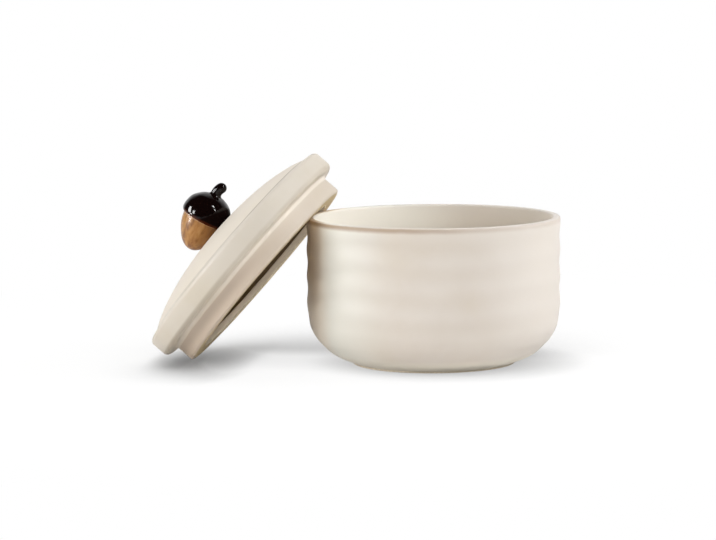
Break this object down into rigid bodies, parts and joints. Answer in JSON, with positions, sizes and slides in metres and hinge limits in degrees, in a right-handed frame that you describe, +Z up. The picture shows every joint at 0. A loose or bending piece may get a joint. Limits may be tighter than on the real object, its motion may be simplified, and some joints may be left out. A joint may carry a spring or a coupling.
{
  "type": "lidded storage jar",
  "caption": "Wide stoneware storage jar with soft throwing rings and a foot ring, and a loose domed lid with a deep flange and an acorn knob, taken off and leaning on the rim.",
  "frame": {"origin": "centre of the bowl's foot ring, on the table", "axes": "+Z up along the bowl's axis; the lid leans on the -X side, in the plane of X and Z; +Y to the back of the picture"},
  "size_m": [0.2274, 0.1404, 0.1153],
  "materials": {
    "cream_glaze": "satin cream glaze over stoneware, with bare clay on the foot and on the flange's edge",
    "caramel_glaze": "streaked caramel glaze, satin gloss",
    "dark_glaze": "very dark brown glaze, high gloss"
  },
  "bodies": {
    "bowl": {"bowl": "cream_glaze"},
    "lid": {"lid": "cream_glaze", "acorn_nut": "caramel_glaze", "acorn_cap": "dark_glaze", "acorn_stem": "dark_glaze"}
  },
  "joints": [
    {"name": "lid_lift", "type": "slide", "parent": "bowl", "child": "lid", "axis": [0, 0, 1], "range_m": [0, 0.12]}
  ]
}
